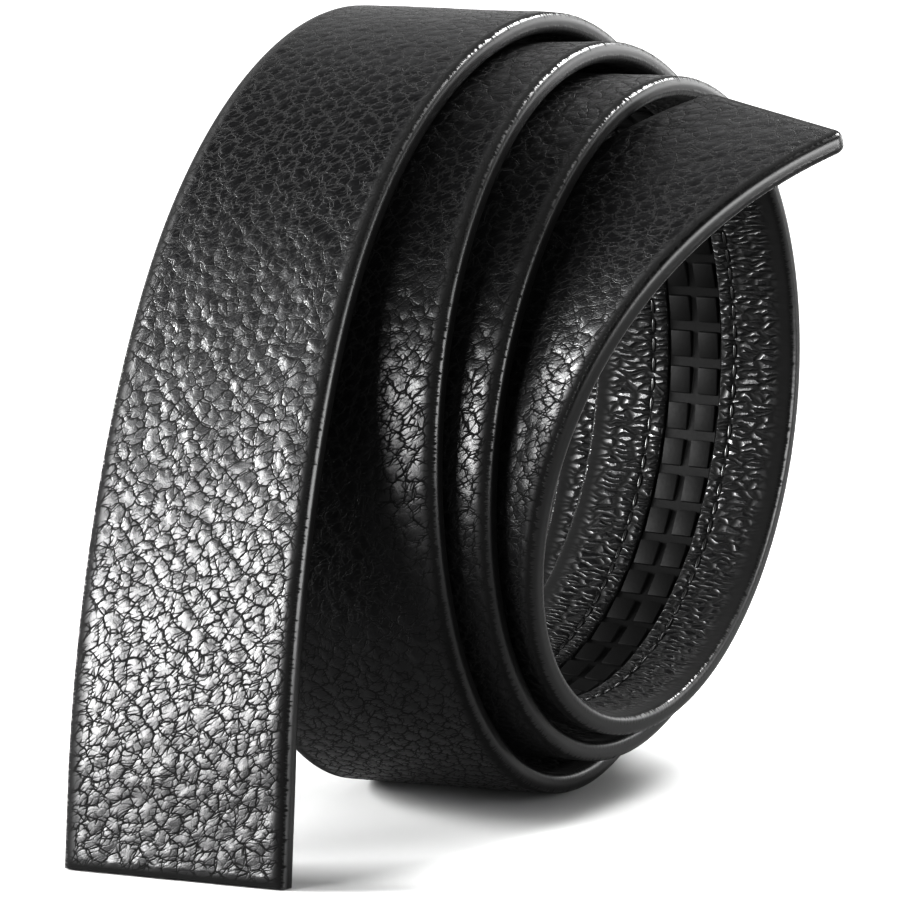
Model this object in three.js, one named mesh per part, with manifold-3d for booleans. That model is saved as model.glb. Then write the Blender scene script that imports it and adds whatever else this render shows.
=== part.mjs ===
// Strap of a ratchet belt, wound into a loose coil that stands on its turns and on its cut end.
//
// The strap is described flat first: along runs from the cut tail end to the tip, across runs over
// the width, and height is measured from the middle of the thickness towards the grain side.
// wind() then carries each flat point onto the coil. The coil's axis lies along X and the floor is
// Z = 0. The tail stands at the front (-Y), and the strap runs from it over the top to the back.

import * as THREE from 'three';
import { mergeVertices } from 'three/addons/utils/BufferGeometryUtils.js';
import Module from 'manifold-3d';

const wasm = await Module();
wasm.setup();

// Leather, in millimetres
const strapWidth = 35;
const faceThickness = 1.6;
const liningThickness = 1.3;
const layerGap = 0.3; // between the two leathers, and under the track
const edgeSlope = 1.2; // width of the thinned band along each edge
const edgeDrop = 0.5; // by which the leather thins there
const tipCornerRadius = 4;
const liningSetback = 0.2; // of the lining from the cut end, so that the strap stands on its face

// Ratchet track, let into a window of the lining
const trackWidth = 8.8;
const trackLength = 250;
const trackFromTip = 40;
const trackBase = 0.5;
const trackClearance = 0.3; // round the track in its window
const trackRecess = 0.1; // of the teeth below the lining
const toothPitch = 6;
const toothLength = 4.4;
const toothSlot = 1.3; // between the two columns of teeth
const toothInset = 0.3; // of the teeth from the sides of the base
const toothFootShare = 0.45; // height left at the low end of a tooth, as a share of its full height
const toothRoot = 0.2; // by which a tooth is sunk into the base

// Coil
const loopRadius = 45; // of the innermost full turn, to the middle of the strap
const turnGap = 1; // between one turn of the even spiral and the next
const sectionSpacing = 6.2; // of the cross-sections along the strap

// Path of the coil, as control rows of a smooth spline, one every sixth of a turn from the tail to
// the tip. out is how far the strap lies outside the even spiral, as a share of loopRadius. side is
// its shift along the axis, as a share of strapWidth. lean turns it about its own length, in degrees.
// The first and the last row lie past the ends and only steer them.
const rowsPerTurn = 6;
const firstRowTurn = -0.25;
const tailTurn = -1 / 12; // where the coil ends and the straight tail begins
const turnCount = 3.22;
const coilRows = [
  { out: 2.91, side: -0.39, lean: -19 },
  { out: 0.32, side: -0.4, lean: -2 }, // tail, at the front
  { out: -0.06, side: -0.44, lean: 6 },
  { out: 0.04, side: -0.3, lean: -2 }, // top
  { out: 0.04, side: -0.31, lean: 0 },
  { out: -0.01, side: -0.19, lean: 3 },
  { out: 0.05, side: -0.12, lean: -1 }, // bottom
  { out: 0.05, side: -0.05, lean: -4 },
  { out: 0, side: -0.06, lean: 0 },
  { out: 0.01, side: -0.03, lean: 4 }, // top
  { out: 0.02, side: 0.03, lean: -3 },
  { out: 0, side: 0.12, lean: 0 },
  { out: -0.01, side: 0.07, lean: -1 }, // bottom
  { out: 0.02, side: 0.09, lean: 7 },
  { out: -0.02, side: 0.19, lean: -1 },
  { out: 0.02, side: 0.29, lean: 0 }, // top
  { out: -0.01, side: 0.33, lean: 1 },
  { out: -0.03, side: 0.3, lean: -4 },
  { out: -0.06, side: 0.21, lean: 6 }, // bottom
  { out: -0.02, side: 0.18, lean: 17 },
  { out: -0.04, side: 0.61, lean: 19 },
  { out: 0.02, side: 1.53, lean: 1 }, // tip, near the top
  { out: 0.38, side: 2.47, lean: -16 },
];

const strapThickness = faceThickness + layerGap + liningThickness;
const turnPitch = strapThickness + turnGap;
const grainHeight = strapThickness / 2;
const liningBackHeight = grainHeight - faceThickness - layerGap;
const liningHeight = -strapThickness / 2;
const axisDirection = new THREE.Vector3(1, 0, 0);

// Value of one column of the rows at a turn, by a uniform cubic B-spline.
function rowValue(column, turn) {
  const place = (turn - firstRowTurn) * rowsPerTurn;
  const row = THREE.MathUtils.clamp(Math.floor(place), 1, coilRows.length - 3);
  const t = place - row;
  const weights = [(1 - t) ** 3, 3 * t ** 3 - 6 * t ** 2 + 4, 3 * (t + t ** 2 - t ** 3) + 1, t ** 3];
  return weights.reduce((sum, weight, i) => sum + (weight * coilRows[row - 1 + i][column]) / 6, 0);
}

// Middle of the strap at a turn, with the coil's axis at Z = 0.
function coilPoint(turn) {
  const angle = 2 * Math.PI * turn;
  const evenRadius = loopRadius + (turnCount - turn) * turnPitch;
  const radius = evenRadius + loopRadius * rowValue('out', turn);
  return new THREE.Vector3(
    strapWidth * rowValue('side', turn),
    -radius * Math.cos(angle),
    radius * Math.sin(angle),
  );
}

// The strap's directions at a turn: along its length, across its width and outward from the coil.
function coilFrame(turn) {
  const step = 1e-4;
  const along = coilPoint(turn + step).sub(coilPoint(turn - step)).normalize();
  const across = axisDirection.clone().addScaledVector(along, -along.x).normalize();
  across.applyAxisAngle(along, -THREE.MathUtils.degToRad(rowValue('lean', turn)));
  const outward = across.clone().cross(along);
  return { turn, point: coilPoint(turn), along, across, outward };
}

// Frames close together along the coil, with the length of strap wound up to each.
const coilSamples = [];
const samplesPerTurn = 720;
const sampleCount = Math.round((turnCount - tailTurn) * samplesPerTurn);
for (let i = 0; i <= sampleCount; i += 1) {
  const frame = coilFrame(tailTurn + ((turnCount - tailTurn) * i) / sampleCount);
  const last = coilSamples.at(-1);
  frame.wound = last ? last.wound + last.point.distanceTo(frame.point) : 0;
  coilSamples.push(frame);
}

// The axis lies as high as lets the lowest of the turns past the first top touch the floor.
const firstTop = 1 / 4;
function lowestCorner({ point, across, outward }) {
  return point.z - (Math.abs(outward.z) * strapThickness + Math.abs(across.z) * strapWidth) / 2;
}
const roundSamples = coilSamples.filter(({ turn }) => turn > firstTop);
const axisHeight = -Math.min(...roundSamples.map(lowestCorner));

// The tail runs straight down until the lower corner of its cut end stands on the floor.
const tailFrame = coilSamples[0];
const tailStraight = (axisHeight + lowestCorner(tailFrame)) / tailFrame.along.z;
const strapLength = tailStraight + coilSamples.at(-1).wound;

// Frame of the strap at a distance from its cut tail end.
function strapFrame(along) {
  const wound = along - tailStraight;
  if (wound <= 0) {
    const point = tailFrame.point.clone().addScaledVector(tailFrame.along, wound);
    return { ...tailFrame, point };
  }
  const next = coilSamples.findIndex((sample) => sample.wound >= wound);
  const after = coilSamples[next < 0 ? coilSamples.length - 1 : next];
  const before = coilSamples[coilSamples.indexOf(after) - 1];
  const share = (wound - before.wound) / (after.wound - before.wound);
  const blend = (name) => before[name].clone().lerp(after[name], share);
  return { point: blend('point'), across: blend('across'), outward: blend('outward') };
}

// Carries the [across, height] points of one flat cross-section onto the coil.
function wind({ along, section }) {
  const { point, across, outward } = strapFrame(along);
  return section.map(([sideways, height]) => {
    const placed = point.clone().addScaledVector(across, sideways).addScaledVector(outward, height);
    placed.z += axisHeight;
    return placed;
  });
}

// Closed body through a row of cross-sections that all have the same number of points. Quads are
// split along the same diagonal of the strap on either face, so that two plies stay parallel.
function loft(cuts) {
  const flat = cuts[0].section;
  const count = flat.length;
  const index = [];
  for (let s = 0; s < cuts.length - 1; s += 1) {
    for (let i = 0; i < count; i += 1) {
      const next = (i + 1) % count;
      const a = s * count + i;
      const b = s * count + next;
      const c = a + count;
      const d = b + count;
      const rightward = flat[i][0] < flat[next][0];
      index.push(...(rightward ? [a, c, b, b, c, d] : [a, d, b, a, c, d]));
    }
  }
  const end = (cuts.length - 1) * count;
  for (let i = 1; i < count - 1; i += 1) {
    index.push(0, i, i + 1, end, end + i + 1, end + i);
  }
  const positions = cuts.flatMap(wind).flatMap((point) => point.toArray());
  const geometry = new THREE.BufferGeometry();
  geometry.setAttribute('position', new THREE.Float32BufferAttribute(positions, 3));
  geometry.setIndex(index);
  return geometry;
}

// The same cross-section at even spacing from one place along the strap to another.
function evenCuts(from, to, section) {
  const count = Math.max(1, Math.ceil((to - from) / sectionSpacing));
  const stations = Array.from({ length: count + 1 }, (_, i) => from + ((to - from) * i) / count);
  return stations.map((along) => ({ along, section }));
}

// A leather runs from near the cut end to the tip, where its corners are rounded.
function leather(start, sectionOf) {
  const cuts = evenCuts(start, strapLength - tipCornerRadius, sectionOf(strapWidth / 2));
  const cornerSteps = 6; // facets of each rounded corner
  for (let i = 1; i <= cornerSteps; i += 1) {
    const angle = ((Math.PI / 2) * i) / cornerSteps;
    const along = strapLength - tipCornerRadius * (1 - Math.sin(angle));
    const halfWidth = strapWidth / 2 - tipCornerRadius * (1 - Math.cos(angle));
    cuts.push({ along, section: sectionOf(halfWidth) });
  }
  return loft(cuts);
}

function faceSection(halfWidth) {
  const back = grainHeight - faceThickness;
  return [
    [-halfWidth, back],
    [0, back],
    [halfWidth, back],
    [halfWidth, grainHeight - edgeDrop],
    [halfWidth - edgeSlope, grainHeight],
    [0, grainHeight],
    [edgeSlope - halfWidth, grainHeight],
    [-halfWidth, grainHeight - edgeDrop],
  ];
}

function liningSection(halfWidth) {
  return [
    [-halfWidth, liningHeight + edgeDrop],
    [edgeSlope - halfWidth, liningHeight],
    [0, liningHeight],
    [halfWidth - edgeSlope, liningHeight],
    [halfWidth, liningHeight + edgeDrop],
    [halfWidth, liningBackHeight],
    [0, liningBackHeight],
    [-halfWidth, liningBackHeight],
  ];
}

function rectangle(left, right, low, high) {
  return [[left, low], [right, low], [right, high], [left, high]];
}

function toSolid(geometry) {
  const bare = geometry.clone();
  bare.deleteAttribute('normal');
  bare.deleteAttribute('uv');
  const merged = mergeVertices(bare, 1e-4);
  const mesh = new wasm.Mesh({
    numProp: 3,
    vertProperties: new Float32Array(merged.attributes.position.array),
    triVerts: new Uint32Array(merged.index.array),
  });
  return new wasm.Manifold(mesh);
}

function toGeometry(solid) {
  const { vertProperties, triVerts } = solid.getMesh();
  const geometry = new THREE.BufferGeometry();
  geometry.setAttribute('position', new THREE.BufferAttribute(vertProperties, 3));
  geometry.setIndex(new THREE.BufferAttribute(triVerts, 1));
  return geometry;
}

const trackStart = strapLength - trackFromTip - trackLength;
const trackEnd = strapLength - trackFromTip;

// The lining has a long window in which the track lies.
function liningLeather() {
  const halfWindow = trackWidth / 2 + trackClearance;
  const through = liningThickness / 2; // by which the cutter stands out of either face
  const cut = rectangle(-halfWindow, halfWindow, liningHeight - through, liningBackHeight + through);
  const cutter = loft(evenCuts(trackStart - trackClearance, trackEnd + trackClearance, cut));
  return toGeometry(toSolid(leather(liningSetback, liningSection)).subtract(toSolid(cutter)));
}

// One tooth is a wedge, steep towards the tail and sloping down towards the tip.
function tooth(start, left, right) {
  const root = liningBackHeight - trackBase + toothRoot;
  const crest = liningHeight + trackRecess;
  const foot = liningBackHeight - trackBase - toothFootShare * (liningBackHeight - trackBase - crest);
  return loft([
    { along: start, section: rectangle(left, right, crest, root) },
    { along: start + toothLength, section: rectangle(left, right, foot, root) },
  ]);
}

function ratchetTrack() {
  const halfBase = trackWidth / 2;
  const base = rectangle(-halfBase, halfBase, liningBackHeight - trackBase, liningBackHeight);
  const solids = [toSolid(loft(evenCuts(trackStart, trackEnd, base)))];
  const toothCount = Math.floor(trackLength / toothPitch);
  const margin = (trackLength - (toothCount - 1) * toothPitch - toothLength) / 2;
  const inner = toothSlot / 2;
  const outer = halfBase - toothInset;
  for (let i = 0; i < toothCount; i += 1) {
    const start = trackStart + margin + i * toothPitch;
    solids.push(toSolid(tooth(start, -outer, -inner)));
    solids.push(toSolid(tooth(start, inner, outer)));
  }
  return toGeometry(wasm.Manifold.union(solids));
}

function piece(name, geometry, color, roughness) {
  const material = new THREE.MeshStandardMaterial({ color, roughness, metalness: 0 });
  const mesh = new THREE.Mesh(geometry, material);
  mesh.name = name;
  return mesh;
}

const belt = new THREE.Group();
belt.add(
  piece('face_leather', leather(0, faceSection), 0x141414, 0.45),
  piece('lining_leather', liningLeather(), 0x1a1a1a, 0.55),
  piece('ratchet_track', ratchetTrack(), 0x101010, 0.4),
);

// The origin is on the floor under the middle of the belt.
const bounds = new THREE.Box3().setFromObject(belt);
const middle = bounds.getCenter(new THREE.Vector3());
belt.position.set(-middle.x, -middle.y, -bounds.min.z);

export default belt;
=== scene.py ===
import math

import bpy
import numpy as np
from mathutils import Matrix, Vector, noise


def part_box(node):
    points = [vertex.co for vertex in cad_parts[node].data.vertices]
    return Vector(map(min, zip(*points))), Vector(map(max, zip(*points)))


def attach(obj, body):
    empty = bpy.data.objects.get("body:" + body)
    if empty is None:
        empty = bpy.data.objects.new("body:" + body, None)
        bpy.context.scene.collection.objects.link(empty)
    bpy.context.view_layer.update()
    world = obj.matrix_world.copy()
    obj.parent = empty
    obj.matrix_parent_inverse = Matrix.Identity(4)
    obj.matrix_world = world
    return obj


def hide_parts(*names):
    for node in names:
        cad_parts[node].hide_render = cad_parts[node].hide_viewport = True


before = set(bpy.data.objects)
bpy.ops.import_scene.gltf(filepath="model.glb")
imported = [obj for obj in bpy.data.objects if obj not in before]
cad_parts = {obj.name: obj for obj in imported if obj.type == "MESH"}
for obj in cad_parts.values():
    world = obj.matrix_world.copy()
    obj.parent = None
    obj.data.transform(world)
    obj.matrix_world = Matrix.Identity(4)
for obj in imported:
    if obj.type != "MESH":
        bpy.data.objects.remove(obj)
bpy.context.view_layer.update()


# Face leather
# The outer ply of the strap: a strip of drum-dyed cowhide, tumbled so that its grain stands up in
# pebbles. It is cut 35 mm wide and its edges are pared thin, rounded and painted.

mm = 0.001
strap_width = 35 * mm
face_thickness = 1.6 * mm
lining_thickness = 1.3 * mm
layer_gap = 0.3 * mm
tip_corner_radius = 2 * mm
strap_thickness = face_thickness + layer_gap + lining_thickness
grain_height = strap_thickness / 2

# The strap is wound round a level axle, so its middle follows an even spiral with a few leanings.
loop_radius = 45 * mm  # of the innermost full turn
turn_pitch = strap_thickness + 1 * mm
rows_per_turn = 6
first_row_turn = -1 / 4
tail_turn = -1 / 12  # where the coil ends and the straight tail begins
turn_count = 3.22
first_top = 1 / 4

coil_rows = np.array([
    # out as a share of loop_radius, side as a share of strap_width, lean in degrees
    (2.91, -0.39, -19),
    (0.32, -0.4, -2),
    (-0.06, -0.44, 6),
    (0.04, -0.3, -2),
    (0.04, -0.31, 0),
    (-0.01, -0.19, 3),
    (0.05, -0.12, -1),
    (0.05, -0.05, -4),
    (0, -0.06, 0),
    (0.01, -0.03, 4),
    (0.02, 0.03, -3),
    (0, 0.12, 0),
    (-0.01, 0.07, -1),
    (0.02, 0.09, 7),
    (-0.02, 0.19, -1),
    (0.02, 0.29, 0),
    (-0.01, 0.33, 1),
    (-0.03, 0.3, -4),
    (-0.06, 0.21, 6),
    (-0.02, 0.18, 17),
    (-0.04, 0.61, 19),
    (0.02, 1.53, 1),
    (0.38, 2.47, -16),
])


def row_values(turn):
    """The three columns of the rows at each turn, by a uniform cubic B-spline."""
    place = (turn - first_row_turn) * rows_per_turn
    row = np.clip(np.floor(place).astype(int), 1, len(coil_rows) - 3)
    t = place - row
    weights = [(1 - t) ** 3, 3 * t ** 3 - 6 * t ** 2 + 4, 3 * (t + t ** 2 - t ** 3) + 1, t ** 3]
    return sum(w[:, None] / 6 * coil_rows[row - 1 + i] for i, w in enumerate(weights)).T


def coil_points(turn):
    out, side, lean = row_values(turn)
    radius = loop_radius * (1 + out) + (turn_count - turn) * turn_pitch
    angle = 2 * math.pi * turn
    return np.stack([strap_width * side, -radius * np.cos(angle), radius * np.sin(angle)], axis=1)


def unit(vectors):
    return vectors / np.linalg.norm(vectors, axis=1, keepdims=True)


# Frames close together along the coil: where the strap's middle is, and which way it faces.
coil_turns = np.linspace(tail_turn, turn_count, 4000)
coil_middle = coil_points(coil_turns)
coil_along = unit(coil_points(coil_turns + 1e-4) - coil_points(coil_turns - 1e-4))
axle = np.array([1.0, 0.0, 0.0])
coil_level = unit(axle - coil_along * coil_along[:, :1])
coil_lean = np.radians(row_values(coil_turns)[2])[:, None]
coil_across = coil_level * np.cos(coil_lean) + np.cross(coil_level, coil_along) * np.sin(coil_lean)
coil_outward = np.cross(coil_across, coil_along)
coil_steps = np.linalg.norm(np.diff(coil_middle, axis=0), axis=1)
coil_wound = np.concatenate([[0.0], np.cumsum(coil_steps)])

# The lowest of the turns past the first top stands on the floor, and so does the cut end.
corner_drop = (abs(coil_outward[:, 2]) * strap_thickness + abs(coil_across[:, 2]) * strap_width) / 2
corner_height = coil_middle[:, 2] - corner_drop
axle_height = -corner_height[coil_turns > first_top].min()
tail_straight = (axle_height + corner_height[0]) / coil_along[0, 2]
strap_length = tail_straight + coil_wound[-1]


def wound_points(flat):
    """Carries flat points (across, along, height) onto the coil, round an axle at X."""
    wound = flat[:, 1] - tail_straight
    middle = np.stack([np.interp(wound, coil_wound, column) for column in coil_middle.T], axis=1)
    middle += np.minimum(wound, 0)[:, None] * coil_along[0]
    across = unit(np.stack([np.interp(wound, coil_wound, c) for c in coil_across.T], axis=1))
    outward = unit(np.stack([np.interp(wound, coil_wound, c) for c in coil_outward.T], axis=1))
    return middle + across * flat[:, :1] + outward * flat[:, 2:3]


def get_points(piece):
    points = np.empty(len(piece.data.vertices) * 3)
    piece.data.vertices.foreach_get("co", points)
    return points.reshape(-1, 3)


def set_points(piece, points):
    piece.data.vertices.foreach_set("co", points.ravel())
    piece.data.update()


def strip(name, columns, rows):
    """A flat grid with a column of points for each place across and a row for each along."""
    bpy.ops.object.select_all(action="DESELECT")
    bpy.ops.mesh.primitive_grid_add(x_subdivisions=columns - 1, y_subdivisions=rows - 1)
    piece = bpy.context.object
    piece.name = name
    return piece


def strap_rows(spacing):
    """Places of the rows along a ply: even, then closer where the corners of the tip are round."""
    straight = strap_length - tip_corner_radius
    even = np.linspace(0, straight, round(straight / spacing) + 1)
    corner = tip_corner_radius * np.sin(np.linspace(0, math.pi / 2, 15)[1:])
    return np.concatenate([even, straight + corner])


def half_width(along):
    """Half the strap's width: full, and less within the round corners of the tip."""
    into = np.clip(along - (strap_length - tip_corner_radius), 0, tip_corner_radius)
    return strap_width / 2 - tip_corner_radius + np.sqrt(tip_corner_radius ** 2 - into ** 2)


def edge_inset(across, along):
    """How far a point lies in from the strap's sides and from its tip."""
    side = np.clip(strap_width / 2 - abs(across), 0, None)
    end = np.clip(strap_length - along, 0, None)
    reach = tip_corner_radius
    corner = reach - np.hypot(np.clip(reach - side, 0, None), np.clip(reach - end, 0, None))
    return np.clip(np.where((side < reach) & (end < reach), corner, np.minimum(side, end)), 0, None)


round_over = 0.9 * mm  # width of the rounded edge
skive_width = 4.5 * mm  # of the band along each edge that is pared thinner
skive_depth = 0.12 * mm


def edge_fall(inset, depth):
    """How far a ply's finished side has fallen at a distance in from its edge."""
    into = np.clip(1 - inset / round_over, 0, 1)
    pared = np.clip(1 - inset / skive_width, 0, 1)
    return depth * (1 - np.sqrt(1 - into ** 2)) + skive_depth * pared ** 2


def lumps(across, along, width, length, seed):
    """Soft unevenness of a hide, from -1 to 1, in lumps of about the width and length given."""
    places = np.stack([across / width, along / length, np.full(across.shape, seed)], axis=-1)
    values = [noise.noise(Vector(place)) for place in places.reshape(-1, 3)]
    return np.array(values).reshape(across.shape)


edge_columns = np.array([0, 0.03, 0.11, 0.26, 0.5, 0.9, 1.4, 2]) * mm


def roll_ply(piece, columns, rows, top, back, edge_depth, relief, back_columns):
    """Rolls a grid round the section of a ply, and maps it in real metres across and along.

    The section runs over the finished side, down the right edge, over the back and up the left.
    An attribute tells the material how far each point lies in from the edge."""
    reach = strap_width / 2
    side = 1 if top > back else -1
    low = top - side * (edge_depth + skive_depth)
    wall = abs(top - back)
    girth = np.concatenate([columns, [reach], back_columns, [-reach, -reach]])
    map_u = np.concatenate([columns, [reach + wall / 2], np.sign(back_columns) * (reach + wall),
                            [-reach - wall / 2, -reach]])
    across = girth[None, :] / reach * half_width(rows)[:, None]
    along = np.repeat(rows[:, None], len(girth), axis=1)
    height = np.full(across.shape, back)
    finished = slice(0, len(columns))
    inset = edge_inset(across[:, finished], along[:, finished])
    rise = relief(across[:, finished], along[:, finished]) * np.clip(inset / skive_width, 0, 1)
    height[:, finished] = top + side * (rise - edge_fall(inset, edge_depth))
    height[:, len(columns)] = (low + back) / 2
    height[:, -2] = (low + back) / 2
    height[:, -1] = height[:, 0]
    set_points(piece, np.stack([across, along, height], axis=2))
    corners = np.empty(len(piece.data.loops), dtype=np.int32)
    piece.data.loops.foreach_get("vertex_index", corners)
    places = np.stack([np.repeat(map_u[None, :], len(rows), axis=0), along], axis=2).reshape(-1, 2)
    strap_map = piece.data.uv_layers.active
    strap_map.name = "strap"
    strap_map.data.foreach_set("uv", places[corners].ravel())
    from_edge = np.zeros(across.shape)
    from_edge[:, finished] = inset
    from_edge[:, len(columns) + 1:-2] = edge_inset(across, along)[:, len(columns) + 1:-2]
    inset_map = piece.data.attributes.new("inset", "FLOAT", "POINT")
    inset_map.data.foreach_set("value", from_edge.ravel())


def close_ply(piece):
    """Joins the rolled grid along its seam and fills the cut end and the tip."""
    bpy.ops.object.mode_set(mode="EDIT")
    bpy.ops.mesh.select_all(action="SELECT")
    bpy.ops.mesh.remove_doubles(threshold=1e-6)
    bpy.ops.mesh.select_all(action="DESELECT")
    bpy.ops.mesh.select_non_manifold(extend=False, use_wire=False, use_multi_face=False,
                                     use_non_contiguous=False, use_verts=False)
    bpy.ops.mesh.fill_holes(sides=0)
    bpy.ops.object.mode_set(mode="OBJECT")


def finish_mesh(piece, angle):
    """Winds a flat piece onto the coil, turns its faces out and shades it smooth."""
    set_points(piece, wound_points(get_points(piece)) + coil_place)
    bpy.ops.object.mode_set(mode="EDIT")
    bpy.ops.mesh.select_all(action="SELECT")
    bpy.ops.mesh.normals_make_consistent(inside=False)
    bpy.ops.object.mode_set(mode="OBJECT")
    bpy.ops.object.shade_smooth_by_angle(angle=math.radians(angle))


face_back = grain_height - face_thickness - layer_gap  # the plies meet, and paint fills the seam
face_edge_depth = 1.2 * mm
row_spacing = 0.72 * mm
smooth_angle = 60
face_inner = np.linspace(2.7 * mm, strap_width / 2, 19)
face_right = strap_width / 2 - np.concatenate([edge_columns, face_inner])
face_columns = np.concatenate([-face_right, face_right[-2::-1]])
face_rows = strap_rows(row_spacing)
back_edges = np.array([strap_width / 2, -strap_width / 2])


def face_relief(across, along):
    """The tumbled hide is a little uneven, and its wrinkles run slantwise over the strap."""
    slanted = along + across * 0.8
    swells = 0.1 * lumps(across, along, 9 * mm, 14 * mm, 1)
    folds = 0.07 * lumps(across, slanted, 6 * mm, 2.4 * mm, 2)
    return (swells + folds) * mm


face = strip("face_leather_ply", len(face_columns) + len(back_edges) + 3, len(face_rows))
roll_ply(face, face_columns, face_rows, grain_height, face_back, face_edge_depth, face_relief, back_edges)
close_ply(face)
wound = wound_points(get_points(face))
low_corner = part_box("face_leather")[0]
coil_place = np.array(low_corner) - wound.min(axis=0)
finish_mesh(face, smooth_angle)


def add_node(tree, kind, inputs=(), **settings):
    """Adds a node with its settings, and links or sets its inputs. A node stands for its first output."""
    made = tree.nodes.new(kind)
    for name, value in settings.items():
        setattr(made, name, value)
    for socket, value in dict(inputs).items():
        if isinstance(value, bpy.types.Node):
            value = value.outputs[0]
        if isinstance(value, bpy.types.NodeSocket):
            tree.links.new(value, made.inputs[socket])
        else:
            made.inputs[socket].default_value = value
    return made


def hex_color(code):
    """An sRGB hex colour as linear red, green, blue and alpha."""
    parts = [int(code[i:i + 2], 16) / 255 for i in (1, 3, 5)]
    return [c / 12.92 if c <= 0.04045 else ((c + 0.055) / 1.055) ** 2.4 for c in parts] + [1.0]


def blank_material(name):
    made = bpy.data.materials.new(name)
    made.use_nodes = True
    return made, made.node_tree, made.node_tree.nodes["Principled BSDF"]


# Tumbled cowhide, drum-dyed black, with painted edges: the tops of the pebbles glint one by one,
# the creases and the pressed margins stay dull, and the rounded edge has a satin shine. The creases
# and the margins are also coloured darker than the tops, as painted shade, and so is the strip by the cut
# end.
pebble_size = 2.2 * mm
wrinkle_size = 0.7 * mm  # across the fine wrinkles, which run slantwise between the pebbles
sway_size = 4 * mm  # of the bends in the rows of pebbles
sway_reach = 1.6 * mm
pore_size = 0.25 * mm
fibre_size = 0.3 * mm  # along the strap, of the fibres over which the edge paint ends raggedly
fibre_reach = 1.4 * mm
edge_paint = hex_color("#0b0b0b")
face_material, tree, shader = blank_material("tumbled_cowhide")
strap_place = add_node(tree, "ShaderNodeUVMap", uv_map="strap")
strap_axes = add_node(tree, "ShaderNodeSeparateXYZ", {0: strap_place})
inset = add_node(tree, "ShaderNodeAttribute", attribute_name="inset").outputs["Fac"]
sway = add_node(tree, "ShaderNodeTexNoise", {"Vector": strap_place, "Scale": 1 / sway_size,
                                             "Detail": 2.0}, noise_dimensions="2D")
swayed = add_node(tree, "ShaderNodeVectorMath", {0: sway.outputs["Color"], 1: [sway_reach] * 3,
                                                 2: strap_place}, operation="MULTIPLY_ADD")
slant = (0, 0, math.radians(50))
pebble_place = add_node(tree, "ShaderNodeMapping", {"Vector": swayed, "Rotation": slant,
                                                    "Scale": (1.15, 1, 1)}, vector_type="TEXTURE")
pebbles = add_node(tree, "ShaderNodeTexVoronoi", {"Vector": pebble_place, "Scale": 1 / pebble_size,
                                                  "Randomness": 0.85}, voronoi_dimensions="2D",
                   feature="DISTANCE_TO_EDGE")
wrinkle_slant = (0, 0, math.radians(36))
wrinkle_place = add_node(tree, "ShaderNodeMapping", {"Vector": swayed, "Rotation": wrinkle_slant,
                                                     "Scale": (2.4, 1, 1)}, vector_type="TEXTURE")
wrinkles = add_node(tree, "ShaderNodeTexVoronoi", {"Vector": wrinkle_place, "Scale": 1 / wrinkle_size},
                    voronoi_dimensions="2D", feature="DISTANCE_TO_EDGE")
pores = add_node(tree, "ShaderNodeTexNoise", {"Vector": strap_place, "Scale": 1 / pore_size,
                                              "Detail": 3.0}, noise_dimensions="2D")
clear_top = add_node(tree, "ShaderNodeMath", {0: pebbles, 1: 0.1}, operation="MULTIPLY")
from_wrinkle = add_node(tree, "ShaderNodeMath", {0: wrinkles, 1: 0.22, 2: clear_top},
                        operation="MULTIPLY_ADD")
from_crease = add_node(tree, "ShaderNodeMath", {0: pebbles, 1: from_wrinkle}, operation="MINIMUM")
crease = add_node(tree, "ShaderNodeMapRange", {"Value": from_crease, "From Max": 0.06, "To Max": 0.4},
                  interpolation_type="SMOOTHSTEP")
from_top = add_node(tree, "ShaderNodeTexVoronoi", {"Vector": pebble_place, "Scale": 1 / pebble_size,
                                                   "Randomness": 0.85}, voronoi_dimensions="2D",
                    feature="F1")
dome = add_node(tree, "ShaderNodeMapRange", {"Value": from_top, "From Max": 0.7, "To Min": 0.9,
                                             "To Max": 0}, interpolation_type="SMOOTHSTEP")
wrinkled = add_node(tree, "ShaderNodeMath", {0: crease, 1: dome}, operation="ADD")
porous = add_node(tree, "ShaderNodeMath", {0: pores, 1: 0.3, 2: wrinkled}, operation="MULTIPLY_ADD")
relief = add_node(tree, "ShaderNodeMath", {0: sway, 1: 2.5, 2: porous}, operation="MULTIPLY_ADD")
from_side = add_node(tree, "ShaderNodeMapRange", {"Value": inset, "From Min": 0.6 * mm,
                                                  "From Max": 2 * mm, "To Min": 0.02},
                     interpolation_type="SMOOTHSTEP")
# The margins along the edges: dull, and coloured darker as painted shade where the pared edge turns away from
# the light.
dull_margin_painted_shade = add_node(tree, "ShaderNodeMapRange", {"Value": inset, "From Min": 0.7 * mm,
                                               "From Max": 2.8 * mm}, interpolation_type="SMOOTHSTEP")
from_cut = add_node(tree, "ShaderNodeMapRange", {"Value": strap_axes.outputs["Y"], "From Min": 0.4 * mm,
                                                 "From Max": 1.6 * mm}, interpolation_type="SMOOTHSTEP")
grain_amount = add_node(tree, "ShaderNodeMath", {0: from_side, 1: from_cut}, operation="MULTIPLY")
grain = add_node(tree, "ShaderNodeMath", {0: relief, 1: grain_amount}, operation="MULTIPLY")
bump = add_node(tree, "ShaderNodeBump", {"Strength": 1.0, "Distance": 0.08 * mm, "Height": grain})
top = add_node(tree, "ShaderNodeMapRange", {"Value": from_crease, "From Min": 0.008, "From Max": 0.05},
               interpolation_type="SMOOTHSTEP")
top_gloss_and_painted_shade = add_node(tree, "ShaderNodeMath", {0: top, 1: dull_margin_painted_shade}, operation="MULTIPLY")
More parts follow.
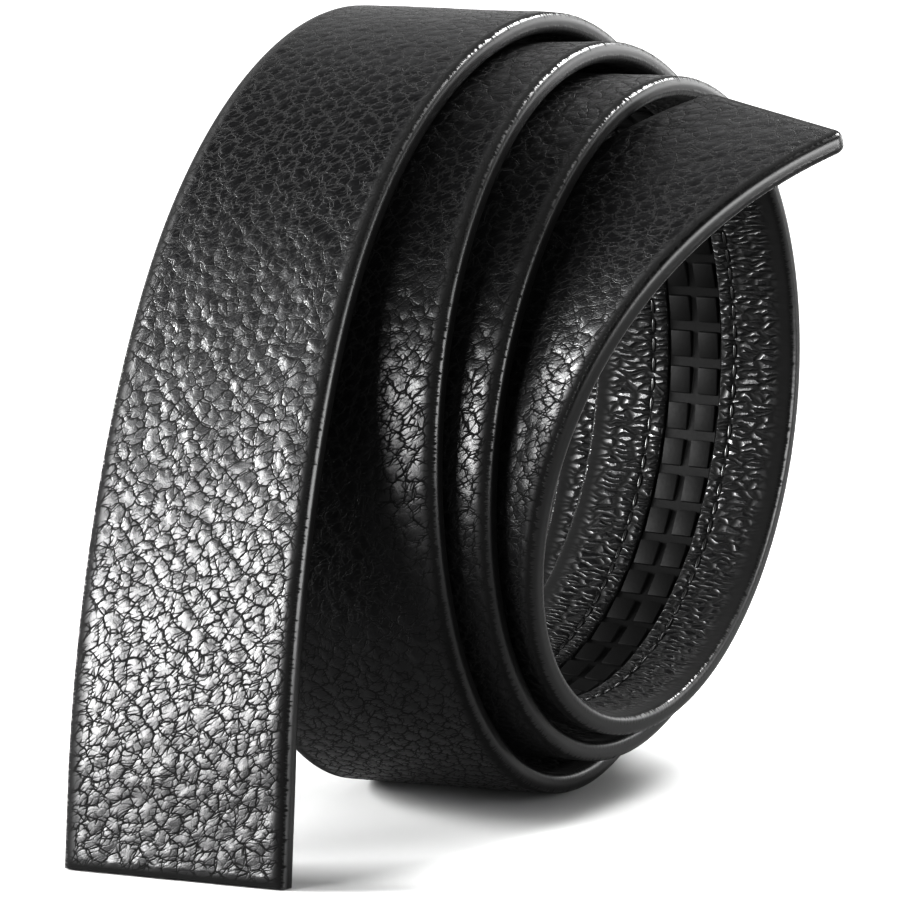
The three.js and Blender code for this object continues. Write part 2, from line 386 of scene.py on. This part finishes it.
# Glossy and lighter on the pebble tops; dull and painted darker in the creases, on the margins and near the
# cut end.
gloss_and_painted_shade = add_node(tree, "ShaderNodeMath", {0: top_gloss_and_painted_shade, 1: from_cut}, operation="MULTIPLY")
fibre_place = add_node(tree, "ShaderNodeMapping", {"Vector": strap_place, "Scale": (0.2, 1, 1)})
fibres = add_node(tree, "ShaderNodeTexNoise", {"Vector": fibre_place, "Scale": 1 / fibre_size,
                                               "Detail": 2.0}, noise_dimensions="2D")
ragged_inset = add_node(tree, "ShaderNodeMath", {0: fibres, 1: fibre_reach, 2: inset},
                        operation="MULTIPLY_ADD")
painted = add_node(tree, "ShaderNodeMapRange", {"Value": ragged_inset, "From Min": 1.05 * mm,
                                                "From Max": 1.3 * mm, "To Min": 1, "To Max": 0},
                   interpolation_type="SMOOTHSTEP")
grain_roughness = add_node(tree, "ShaderNodeMix", {"Factor": gloss_and_painted_shade, 2: 1.0, 3: 0.38})
roughness = add_node(tree, "ShaderNodeMix", {"Factor": painted, 2: grain_roughness, 3: 0.34})
# The colour is darker in the creases, on the margins and near the cut end: painted shade.
grain_color_painted_shade = add_node(tree, "ShaderNodeMix", {"Factor": gloss_and_painted_shade, 6: hex_color("#040404"),
                                               7: hex_color("#0f0f10")}, data_type="RGBA")
color = add_node(tree, "ShaderNodeMix", {"Factor": painted, 6: grain_color_painted_shade.outputs[2], 7: edge_paint},
                 data_type="RGBA")
tree.links.new(color.outputs[2], shader.inputs["Base Color"])
tree.links.new(roughness.outputs[0], shader.inputs["Roughness"])
tree.links.new(bump.outputs[0], shader.inputs["Normal"])
shader.inputs["IOR"].default_value = 1.5
face.data.materials.append(face_material)
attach(face, "root")
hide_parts("face_leather")


# Lining leather
# The inner ply: a thinner split of the same hide with a wrinkled finish, glued to the face leather.
# A long window is cut in it for the track, and a line of stitches draws it down round the window.

track_width = 8.8 * mm
track_length = 250 * mm
track_from_tip = 40 * mm
track_clearance = 0.3 * mm
window_half = track_width / 2 + track_clearance
window_start = strap_length - track_from_tip - track_length - track_clearance
window_end = strap_length - track_from_tip + track_clearance
stitch_inset = 2.4 * mm  # of the stitches from the window's edge
lining_top = -strap_thickness / 2
lining_back = face_back
lining_edge_depth = 0.95 * mm

lining_gaps = [0, 0.15, 0.4, 0.8, 1.3, 1.8, 2.1, 2.4, 2.7, 3.0, 3.5]
lining_outer = np.linspace(2.7 * mm, strap_width / 2 - window_half - 4.1 * mm, 9)
lining_right = np.concatenate([strap_width / 2 - edge_columns, strap_width / 2 - lining_outer,
                               window_half + np.array(lining_gaps[::-1]) * mm])
lining_columns = np.concatenate([-lining_right, lining_right[::-1]])
lining_rows = np.sort(np.concatenate([strap_rows(row_spacing), [window_start, window_end]]))
lining_back_columns = np.array([strap_width / 2, window_half, -window_half, -strap_width / 2])


def window_distance(across, along):
    """How far a point lies outside the window, and less than zero inside it."""
    side = abs(across) - window_half
    end = np.maximum(window_start - along, along - window_end)
    outside = np.hypot(np.clip(side, 0, None), np.clip(end, 0, None))
    return np.where(outside > 0, outside, np.maximum(side, end))


def lining_relief(across, along):
    """Wrinkles across the strap, a puffed rim round the window and the groove of the stitches."""
    away = window_distance(across, along)
    groove = np.exp(-((away - stitch_inset) / (0.35 * mm)) ** 2)
    lip = np.clip(1 - away / (0.8 * mm), 0, 1) ** 2
    wrinkles = 0.16 * lumps(across, along, 4.5 * mm, 1.7 * mm, 3)
    swells = 0.1 * lumps(across, along, 10 * mm, 8 * mm, 4)
    return (wrinkles + swells - 0.32 * groove - 0.3 * lip) * mm


lining = strip("lining_leather_ply", len(lining_columns) + len(lining_back_columns) + 3, len(lining_rows))
roll_ply(lining, lining_columns, lining_rows, lining_top, lining_back, lining_edge_depth, lining_relief,
         lining_back_columns)
close_ply(lining)

# The window: the faces inside it go, and its two rims are bridged.
lining_points = get_points(lining)
near = 0.01 * mm
inside = ((abs(lining_points[:, 0]) < window_half + near) & (lining_points[:, 1] > window_start - near)
          & (lining_points[:, 1] < window_end + near))
lining.data.polygons.foreach_set("select", [all(inside[v] for v in f.vertices) for f in lining.data.polygons])
bpy.context.tool_settings.mesh_select_mode = (False, False, True)
bpy.ops.object.mode_set(mode="EDIT")
bpy.ops.mesh.delete(type="FACE")
bpy.context.tool_settings.mesh_select_mode = (False, True, False)
bpy.ops.mesh.select_non_manifold(extend=False, use_wire=False, use_multi_face=False,
                                 use_non_contiguous=False, use_verts=False)
bpy.ops.mesh.bridge_edge_loops()
bpy.ops.object.mode_set(mode="OBJECT")
finish_mesh(lining, smooth_angle)

# Wrinkled split leather, drum-dyed black: short ridges across the strap that catch the light one
# by one over dull furrows, a smooth band along the edges, and the face's painted edge. The furrows
# are coloured darker than the ridges, as painted shade, and the colour is darker along the band by the edges
# too.
wrinkle_width = 1 * mm
sway_size = 3.5 * mm
sway_reach = 1.4 * mm
pore_size = 0.3 * mm
lining_material, tree, shader = blank_material("wrinkled_split_leather")
strap_place = add_node(tree, "ShaderNodeUVMap", uv_map="strap")
inset = add_node(tree, "ShaderNodeAttribute", attribute_name="inset").outputs["Fac"]
sway = add_node(tree, "ShaderNodeTexNoise", {"Vector": strap_place, "Scale": 1 / sway_size,
                                             "Detail": 2.0}, noise_dimensions="2D")
swayed = add_node(tree, "ShaderNodeVectorMath", {0: sway.outputs["Color"], 1: [sway_reach] * 3,
                                                 2: strap_place}, operation="MULTIPLY_ADD")
wrinkle_place = add_node(tree, "ShaderNodeMapping", {"Vector": swayed, "Scale": (3.2, 1, 1)},
                         vector_type="TEXTURE")
wrinkles = add_node(tree, "ShaderNodeTexVoronoi", {"Vector": wrinkle_place, "Scale": 1 / wrinkle_width},
                    voronoi_dimensions="2D", feature="DISTANCE_TO_EDGE")
pores = add_node(tree, "ShaderNodeTexNoise", {"Vector": strap_place, "Scale": 1 / pore_size,
                                              "Detail": 3.0}, noise_dimensions="2D")
ridge = add_node(tree, "ShaderNodeMapRange", {"Value": wrinkles, "From Max": 0.34},
                 interpolation_type="SMOOTHSTEP")
relief = add_node(tree, "ShaderNodeMath", {0: pores, 1: 0.18, 2: ridge}, operation="MULTIPLY_ADD")
wrinkle_amount = add_node(tree, "ShaderNodeMapRange", {"Value": inset, "From Min": 1.8 * mm,
                                                       "From Max": 4.5 * mm, "To Min": 0.04},
                          interpolation_type="SMOOTHSTEP")
wrinkling = add_node(tree, "ShaderNodeMath", {0: relief, 1: wrinkle_amount}, operation="MULTIPLY")
bump = add_node(tree, "ShaderNodeBump", {"Strength": 1.0, "Distance": 0.3 * mm, "Height": wrinkling})
# Glossy and lighter on the ridges; dull and painted darker in the furrows and along the edges.
gloss_and_painted_shade = add_node(tree, "ShaderNodeMath", {0: ridge, 1: wrinkle_amount}, operation="MULTIPLY")
fibre_place = add_node(tree, "ShaderNodeMapping", {"Vector": strap_place, "Scale": (0.2, 1, 1)})
fibres = add_node(tree, "ShaderNodeTexNoise", {"Vector": fibre_place, "Scale": 1 / fibre_size,
                                               "Detail": 2.0}, noise_dimensions="2D")
ragged_inset = add_node(tree, "ShaderNodeMath", {0: fibres, 1: fibre_reach, 2: inset},
                        operation="MULTIPLY_ADD")
painted = add_node(tree, "ShaderNodeMapRange", {"Value": ragged_inset, "From Min": 1.05 * mm,
                                                "From Max": 1.3 * mm, "To Min": 1, "To Max": 0},
                   interpolation_type="SMOOTHSTEP")
wrinkle_roughness = add_node(tree, "ShaderNodeMix", {"Factor": gloss_and_painted_shade, 2: 1.0, 3: 0.38})
roughness = add_node(tree, "ShaderNodeMix", {"Factor": painted, 2: wrinkle_roughness, 3: 0.34})
# The colour is darker in the furrows, as painted shade, and darker along the edges.
wrinkle_color_painted_shade = add_node(tree, "ShaderNodeMix", {"Factor": gloss_and_painted_shade, 6: hex_color("#040404"),
                                                 7: hex_color("#0f0f10")}, data_type="RGBA")
color = add_node(tree, "ShaderNodeMix", {"Factor": painted, 6: wrinkle_color_painted_shade.outputs[2], 7: edge_paint},
                 data_type="RGBA")
tree.links.new(color.outputs[2], shader.inputs["Base Color"])
tree.links.new(roughness.outputs[0], shader.inputs["Roughness"])
tree.links.new(bump.outputs[0], shader.inputs["Normal"])
shader.inputs["IOR"].default_value = 1.5
lining.data.materials.append(lining_material)
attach(lining, "root")
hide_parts("lining_leather")


# Ratchet track
# A strip of injection-moulded nylon, glued into the window. Two columns of sloped teeth stand on
# it with a slot between them, for the pawl of a ratchet buckle.

track_base = 0.5 * mm
track_recess = 0.1 * mm
tooth_pitch = 6 * mm
tooth_length = 4.4 * mm
tooth_slot = 1.3 * mm
tooth_inset = 0.3 * mm
tooth_foot_share = 0.45
tooth_root = 0.2 * mm
tooth_edge = 0.18 * mm  # radius of the moulded edges
track_smooth_angle = 40
track_start = strap_length - track_from_tip - track_length
base_top = lining_back - track_base
crest = lining_top + track_recess
foot = base_top - tooth_foot_share * (base_top - crest)
tooth_count = math.floor(track_length / tooth_pitch)
tooth_margin = (track_length - (tooth_count - 1) * tooth_pitch - tooth_length) / 2
tooth_start = track_start + tooth_margin
tooth_width = track_width / 2 - tooth_inset - tooth_slot / 2


def slab(name, width, length, low, high, across, start):
    """A block on the flat strap, from start along it and centred at a place across it."""
    bpy.ops.object.select_all(action="DESELECT")
    place = (across, start + length / 2, (low + high) / 2)
    bpy.ops.mesh.primitive_cube_add(size=1, location=place, scale=(width, length, abs(high - low)))
    bpy.ops.object.transform_apply(location=True, rotation=True, scale=True)
    piece = bpy.context.object
    piece.name = name
    return piece


def select_edges(piece, wanted):
    """Selects the edges whose two ends satisfy wanted, and goes into edit mode."""
    bpy.context.tool_settings.mesh_select_mode = (False, True, False)
    for part in (piece.data.polygons, piece.data.edges, piece.data.vertices):
        part.foreach_set("select", [False] * len(part))
    for edge in piece.data.edges:
        edge.select = wanted(*(piece.data.vertices[v].co for v in edge.vertices))
    bpy.ops.object.mode_set(mode="EDIT")


track = slab("ratchet_track_strip", track_width, track_length, lining_back, base_top, 0, track_start)
select_edges(track, lambda a, b: abs(a.y - b.y) > tooth_pitch)
bpy.ops.mesh.subdivide(number_cuts=round(track_length / (2 * mm)) - 1)
bpy.ops.object.mode_set(mode="OBJECT")

teeth = []
for across in (-(tooth_slot + tooth_width) / 2, (tooth_slot + tooth_width) / 2):
    tooth = slab("tooth", tooth_width, tooth_length, base_top + tooth_root, crest, across, tooth_start)
    for vertex in tooth.data.vertices:
        if vertex.co.z < base_top and vertex.co.y > tooth_start + tooth_length / 2:
            vertex.co.z = foot
    select_edges(tooth, lambda a, b: min(a.z, b.z) < base_top)
    bpy.ops.mesh.bevel(offset=tooth_edge, segments=2, affect="EDGES")
    bpy.ops.object.mode_set(mode="OBJECT")
    row = tooth.modifiers.new("row", "ARRAY")
    row.count = tooth_count
    row.use_relative_offset = False
    row.use_constant_offset = True
    row.constant_offset_displace = (0, tooth_pitch, 0)
    bpy.ops.object.modifier_apply(modifier=row.name)
    teeth.append(tooth)
bpy.ops.object.select_all(action="DESELECT")
for piece in (*teeth, track):
    piece.select_set(True)
bpy.context.view_layer.objects.active = track
bpy.ops.object.join()
finish_mesh(track, track_smooth_angle)

# Injection-moulded nylon, black: satin, with the faint spark-eroded grain of its mould.
track_material, tree, shader = blank_material("moulded_nylon")
place = add_node(tree, "ShaderNodeTexCoord").outputs["Object"]
mould_grain = add_node(tree, "ShaderNodeTexNoise", {"Vector": place, "Scale": 1 / (0.5 * mm),
                                                    "Detail": 3.0})
bump = add_node(tree, "ShaderNodeBump", {"Strength": 0.5, "Distance": 0.05 * mm, "Height": mould_grain})
roughness = add_node(tree, "ShaderNodeMix", {"Factor": mould_grain, 2: 0.6, 3: 0.75})
tree.links.new(roughness.outputs[0], shader.inputs["Roughness"])
tree.links.new(bump.outputs[0], shader.inputs["Normal"])
shader.inputs["Base Color"].default_value = hex_color("#080808")
shader.inputs["IOR"].default_value = 1.53
shader.inputs["Specular IOR Level"].default_value = 0.2
track.data.materials.append(track_material)
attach(track, "root")
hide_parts("ratchet_track")


# Stitches
# Bonded polyester thread, lockstitched round the window through the lining, each stitch drawn
# down into the groove.

stitch_length = 2.5 * mm
stitch_pitch = 3.3 * mm
thread_width = 0.55 * mm
stitch_height = lining_top + 0.12 * mm
stitch_across = window_half + stitch_inset
stitch_count = round((window_end - window_start + 2 * stitch_inset) / stitch_pitch)
stitch_rows = []
for across in (-stitch_across, stitch_across):
    bpy.ops.object.select_all(action="DESELECT")
    place = (across, window_start - stitch_inset + stitch_pitch / 2, stitch_height)
    bpy.ops.mesh.primitive_uv_sphere_add(segments=10, ring_count=8, radius=0.5, location=place,
                                         scale=(thread_width, stitch_length, thread_width))
    bpy.ops.object.transform_apply(location=True, rotation=True, scale=True)
    stitch = bpy.context.object
    stitch.name = "stitch"
    row = stitch.modifiers.new("row", "ARRAY")
    row.count = stitch_count
    row.use_relative_offset = False
    row.use_constant_offset = True
    row.constant_offset_displace = (0, stitch_pitch, 0)
    bpy.ops.object.modifier_apply(modifier=row.name)
    stitch_rows.append(stitch)
stitches = stitch_rows[1]
for piece in stitch_rows:
    piece.select_set(True)
bpy.context.view_layer.objects.active = stitches
bpy.ops.object.join()
stitches.name = "window_stitches"
finish_mesh(stitches, smooth_angle)

# Bonded polyester thread, twisted and waxed: a soft gloss broken by the turns of its plies.
thread_material, tree, shader = blank_material("bonded_polyester_thread")
place = add_node(tree, "ShaderNodeTexCoord").outputs["Object"]
plies = add_node(tree, "ShaderNodeTexNoise", {"Vector": place, "Scale": 1 / (0.3 * mm), "Detail": 2.0})
bump = add_node(tree, "ShaderNodeBump", {"Strength": 0.6, "Distance": 0.05 * mm, "Height": plies})
tree.links.new(bump.outputs[0], shader.inputs["Normal"])
shader.inputs["Base Color"].default_value = hex_color("#1c1c1c")
shader.inputs["Roughness"].default_value = 0.38
stitches.data.materials.append(thread_material)
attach(stitches, "root")


# Floor
# A round sheet of pale paper, lit evenly, on a white background.

floor_radius = 0.45
bpy.ops.object.select_all(action="DESELECT")
bpy.ops.mesh.primitive_circle_add(vertices=96, radius=floor_radius, fill_type="NGON", location=(0, 0, 0))
floor = bpy.context.object
floor.name = "floor"
floor_material, tree, shader = blank_material("background_paper")
shader.inputs["Base Color"].default_value = hex_color("#9c9c9c")
shader.inputs["Roughness"].default_value = 0.8
shader.inputs["Specular IOR Level"].default_value = 0.2
floor.data.materials.append(floor_material)


# Light
# A white room behind and a dark one in front, with six softboxes: two at the left for the highlights on
# the grain, two at the right and one behind for the edges, and one above for the floor.

world = bpy.data.worlds.new("studio")
bpy.context.scene.world = world
world.use_nodes = True
tree = world.node_tree
sky = tree.nodes["Background"]
sky.inputs["Color"].default_value = (1, 1, 1, 1)
direction = add_node(tree, "ShaderNodeTexCoord").outputs["Generated"]
axes = add_node(tree, "ShaderNodeSeparateXYZ", {0: direction})
brightness = add_node(tree, "ShaderNodeMapRange", {"Value": axes.outputs["Y"], "From Min": 0.0,
                                                   "From Max": 0.7, "To Min": 0.04, "To Max": 1.3},
                      interpolation_type="SMOOTHSTEP")
seen = add_node(tree, "ShaderNodeLightPath").outputs["Is Camera Ray"]
strength = add_node(tree, "ShaderNodeMath", {0: brightness, 1: seen}, operation="MAXIMUM")
tree.links.new(strength.outputs[0], sky.inputs["Strength"])


def softbox(name, width, height, distance, azimuth, elevation, target, power):
    """An area light that faces target from an azimuth (0 in front, 90 at the right) and height."""
    turn, lift = math.radians(azimuth), math.radians(elevation)
    away = Vector((math.sin(turn) * math.cos(lift), -math.cos(turn) * math.cos(lift), math.sin(lift)))
    light = bpy.data.lights.new(name, "AREA")
    light.shape = "RECTANGLE"
    light.size = width
    light.size_y = height
    light.energy = power
    lamp = bpy.data.objects.new(name, light)
    bpy.context.scene.collection.objects.link(lamp)
    lamp.location = Vector(target) + away * distance
    lamp.rotation_euler = away.to_track_quat("Z", "Y").to_euler()


softboxes = {
    # width, height and distance in metres, azimuth and elevation in degrees, target, watts
    "front_left_softbox": (0.26, 0.3, 0.6, -33, 5, (0, -0.04, 0.05), 13),
    "left_softbox": (0.26, 0.22, 0.7, -68, 16, (0, 0, 0.05), 26),
    "right_softbox": (0.9, 0.5, 0.8, 85, 4, (0, 0, 0.05), 23),
    "back_right_softbox": (0.7, 0.4, 0.9, 150, 14, (0, 0, 0.05), 4),
    "back_softbox": (0.4, 0.4, 0.9, 163, 45, (0, 0, 0.1), 22),
    "overhead_softbox": (0.8, 0.8, 1.3, 95, 62, (0, 0.1, 0), 14),
}
for name, settings in softboxes.items():
    softbox(name, *settings)



# Camera
# A long lens a little above the coil's middle and to the right of the front. The picture's strong
# contrast is set with it.

camera_azimuth = math.radians(26.31)
camera_elevation = math.radians(8.19)
camera_distance = 0.7603
camera_target = Vector((-24.55, 11.31, 51.35)) * mm
picture_width = 900
focal_pixels = 4931
sensor_width = 36

away = Vector((math.sin(camera_azimuth) * math.cos(camera_elevation),
               -math.cos(camera_azimuth) * math.cos(camera_elevation), math.sin(camera_elevation)))
camera_data = bpy.data.cameras.new("camera")
camera_data.sensor_width = sensor_width
camera_data.lens = focal_pixels * sensor_width / picture_width
camera = bpy.data.objects.new("camera", camera_data)
bpy.context.scene.collection.objects.link(camera)
camera.location = camera_target + away * camera_distance
camera.rotation_euler = away.to_track_quat("Z", "Y").to_euler()
bpy.context.scene.camera = camera
bpy.context.scene.view_settings.view_transform = "Standard"
bpy.context.scene.view_settings.gamma = 0.57
